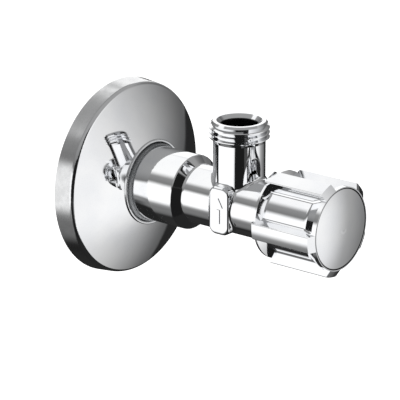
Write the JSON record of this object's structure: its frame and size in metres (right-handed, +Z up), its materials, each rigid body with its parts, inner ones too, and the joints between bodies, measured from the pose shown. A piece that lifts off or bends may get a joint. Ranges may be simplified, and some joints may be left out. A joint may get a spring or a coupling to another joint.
{
  "type": "angle stop valve",
  "caption": "Angle stop valve with a sliding wall rosette, threaded upright outlet and a lobed turning handle.",
  "frame": {"origin": "on the inlet axis at the finished wall, where the rosette's back rim rests", "axes": "+Y along the inlet axis into the wall, +Z up along the outlet branch, handle faces -Y"},
  "size_m": [0.0558, 0.0915, 0.0558],
  "materials": {
    "chrome": "bright chrome plate on brass",
    "chrome_sheet": "bright chrome plate on pressed sheet",
    "chrome_handle": "bright chrome plate",
    "chrome_cap": "bright chrome plate",
    "brass": "machined",
    "spring_steel": "bright zinc",
    "rubber": "matt black",
    "ptfe": "white, slightly waxy",
    "grip_plastic": "grey",
    "insert_plastic": "black"
  },
  "bodies": {
    "body": {"valve_body": "chrome", "inlet_seal_ring": "ptfe", "headwork_bonnet": "brass", "bonnet_o_ring": "rubber"},
    "rosette": {"rosette": "chrome_sheet", "rosette_grip_ring": "grip_plastic"},
    "handle": {"handle": "chrome_handle", "handle_cap": "chrome_cap", "handle_insert": "insert_plastic", "handle_screw": "spring_steel", "handle_screw_washer": "spring_steel", "spindle": "brass", "spindle_o_ring_rear": "rubber", "spindle_o_ring_front": "rubber", "spindle_slip_washer": "ptfe", "spindle_retaining_clip": "spring_steel"},
    "plunger": {"plunger": "brass", "plunger_o_ring": "rubber", "seat_washer": "rubber", "seat_washer_screw": "spring_steel"}
  },
  "joints": [
    {"name": "handle_turn", "type": "hinge", "parent": "body", "child": "handle", "pos_m": [0, -0.0643, 0], "axis": [0, -1, 0], "range_deg": [0, 990]},
    {"name": "plunger_slide", "type": "slide", "parent": "body", "child": "plunger", "axis": [0, -1, 0], "range_m": [0, 0.00344]},
    {"name": "rosette_slide", "type": "slide", "parent": "body", "child": "rosette", "axis": [0, -1, 0], "range_m": [0, 0.0135]}
  ],
  "couplings": [
    {"joint": "plunger_slide", "follows": "handle_turn", "m_per_rad": 0.00019894}
  ]
}
